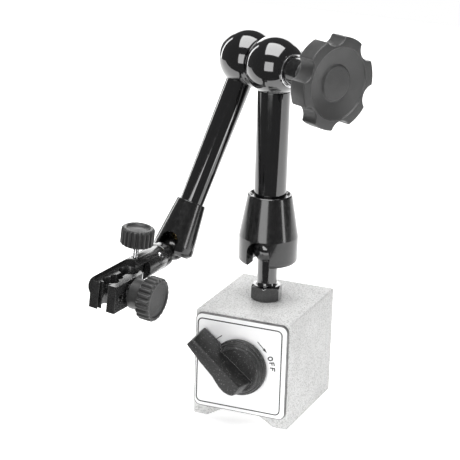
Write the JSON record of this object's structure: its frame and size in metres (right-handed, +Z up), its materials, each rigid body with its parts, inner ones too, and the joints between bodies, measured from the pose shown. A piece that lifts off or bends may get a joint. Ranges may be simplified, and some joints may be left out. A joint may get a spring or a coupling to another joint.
{
  "type": "magnetic stand with indicator holder",
  "caption": "Switchable block magnet carrying a two-arm boom with a central lock knob and ball joints, ending in a split indicator holder with fine adjustment.",
  "frame": {"origin": "middle of the underside, at the mouth of the V groove", "axes": "+Z up along the post, -Y towards the switch, +X to the right seen from the switch side"},
  "size_m": [0.0986, 0.1332, 0.1962],
  "materials": {
    "hammered_paint": "fine-grained silver-grey hammered paint",
    "plate_metal": "satin edge of the dial plate",
    "label_white": "printed white label",
    "dark_plastic": "moulded, fine speckle",
    "grey_plastic": "moulded, satin",
    "gloss_black": "deep gloss black finish",
    "satin_black": "satin black finish",
    "blackened_steel": "polished blackened steel",
    "steel": "turned steel",
    "bright_steel": "bright turned steel",
    "brass": "turned brass",
    "magnet": "ground magnet alloy"
  },
  "bodies": {
    "base": {"left_pole": "hammered_paint", "right_pole": "hammered_paint", "centre_spacer": "hammered_paint", "front_plate": "plate_metal", "dial_label": "label_white", "rear_plate": "hammered_paint", "rear_plate_screws": "steel", "front_bush": "brass", "rear_bush": "brass", "detent_ball": "steel", "detent_spring": "steel", "post_stud": "blackened_steel"},
    "switch": {"rotor_magnet": "magnet", "rotor_left_shoe": "steel", "rotor_right_shoe": "steel", "rotor_front_cap": "brass", "rotor_rear_cap": "brass", "switch_knob": "dark_plastic", "switch_knob_pin": "steel"},
    "lower_ball": {"lower_ball": "blackened_steel"},
    "lower_arm": {"lower_socket": "satin_black", "lower_tube": "gloss_black", "front_housing": "gloss_black", "seat_ring": "bright_steel", "lower_pad_spring": "steel"},
    "lower_rod": {"lower_push_rod": "steel", "lower_ball_pad": "brass"},
    "lock_cone": {"lock_cone": "satin_black"},
    "star_knob": {"star_knob": "grey_plastic", "knob_insert": "brass"},
    "upper_arm": {"friction_washer": "blackened_steel", "rear_housing": "gloss_black", "upper_tube": "gloss_black", "upper_socket": "satin_black", "bolt_key": "steel", "upper_pad_spring": "steel"},
    "elbow_bolt": {"elbow_bolt": "steel"},
    "upper_rod": {"upper_push_rod": "steel", "upper_ball_pad": "brass"},
    "upper_stud": {"upper_ball_stud": "satin_black"},
    "holder": {"holder_body": "satin_black", "spin_set_screw": "steel", "rocker_pin": "bright_steel", "stop_pin": "bright_steel"},
    "clamp_arm": {"clamp_arm": "satin_black"},
    "fine_knob": {"fine_adjust_knob": "dark_plastic", "fine_screw": "bright_steel"},
    "clamp_washer": {"clamp_washer": "bright_steel"},
    "clamp_knob": {"clamp_knob": "grey_plastic", "clamp_screw": "bright_steel"}
  },
  "joints": [
    {"name": "switch_turn", "type": "hinge", "parent": "base", "child": "switch", "pos_m": [0, 0, 0.03], "axis": [0, 1, 0], "range_deg": [0, 90]},
    {"name": "post_swivel", "type": "hinge", "parent": "base", "child": "lower_ball", "pos_m": [0, 0, 0.082], "axis": [0, 0, 1], "continuous": true},
    {"name": "lower_tilt", "type": "hinge", "parent": "lower_ball", "child": "lower_arm", "pos_m": [0, 0, 0.082], "axis": [1, 0, 0], "range_deg": [-18, 45]},
    {"name": "lower_rod_slide", "type": "slide", "parent": "lower_arm", "child": "lower_rod", "axis": [0, 0, 1], "range_m": [0, 0.0003]},
    {"name": "lock_cone_slide", "type": "slide", "parent": "lower_arm", "child": "lock_cone", "axis": [0.8988, -0.4384, 0], "range_m": [0, 0.0005]},
    {"name": "elbow_knob_turn", "type": "hinge", "parent": "lock_cone", "child": "star_knob", "pos_m": [0, 0, 0.174], "axis": [0.8988, -0.4384, 0], "range_deg": [0, 290]},
    {"name": "elbow_bend", "type": "hinge", "parent": "lower_arm", "child": "upper_arm", "pos_m": [-0.01708, 0.00833, 0.174], "axis": [-0.8988, 0.4384, 0], "range_deg": [-13, 180]},
    {"name": "elbow_bolt_slide", "type": "slide", "parent": "upper_arm", "child": "elbow_bolt", "axis": [-0.8988, 0.4384, 0], "range_m": [0, 0.0006]},
    {"name": "upper_rod_slide", "type": "slide", "parent": "upper_arm", "child": "upper_rod", "axis": [0.199, 0.408, 0.891], "range_m": [0, 0.0003]},
    {"name": "upper_tilt", "type": "hinge", "parent": "upper_arm", "child": "upper_stud", "pos_m": [-0.03694, -0.03239, 0.08508], "axis": [-0.98, 0.0843, 0.1803], "range_deg": [-55, 30]},
    {"name": "holder_spin", "type": "hinge", "parent": "upper_stud", "child": "holder", "pos_m": [-0.03694, -0.03239, 0.08508], "axis": [-0.0855, -0.9963, 0.0011], "continuous": true},
    {"name": "fine_swing", "type": "hinge", "parent": "holder", "child": "clamp_arm", "pos_m": [-0.03839, -0.05354, 0.08898], "axis": [0.9919, -0.0852, -0.0939], "range_deg": [-1.4, 1.4]},
    {"name": "fine_knob_turn", "type": "hinge", "parent": "holder", "child": "fine_knob", "pos_m": [-0.03966, -0.06928, 0.09512], "axis": [0.0936, -0.007, 0.9956], "range_deg": [-201, 201]},
    {"name": "clamp_washer_slide", "type": "slide", "parent": "clamp_arm", "child": "clamp_washer", "axis": [0.9919, -0.0852, -0.0939], "range_m": [0, 0.00025]},
    {"name": "clamp_knob_turn", "type": "hinge", "parent": "clamp_washer", "child": "clamp_knob", "pos_m": [-0.02701, -0.08645, 0.07924], "axis": [0.9919, -0.0852, -0.0939], "range_deg": [0, 181]}
  ],
  "couplings": [
    {"joint": "elbow_knob_turn", "follows": "lock_cone_slide", "rad_per_m": 10000},
    {"joint": "elbow_bolt_slide", "follows": "lock_cone_slide", "ratio": 1},
    {"joint": "lower_rod_slide", "follows": "lock_cone_slide", "ratio": 0.5},
    {"joint": "upper_rod_slide", "follows": "lock_cone_slide", "ratio": 0.5},
    {"joint": "fine_knob_turn", "follows": "fine_swing", "ratio": 142.86},
    {"joint": "clamp_knob_turn", "follows": "clamp_washer_slide", "rad_per_m": 12566}
  ]
}
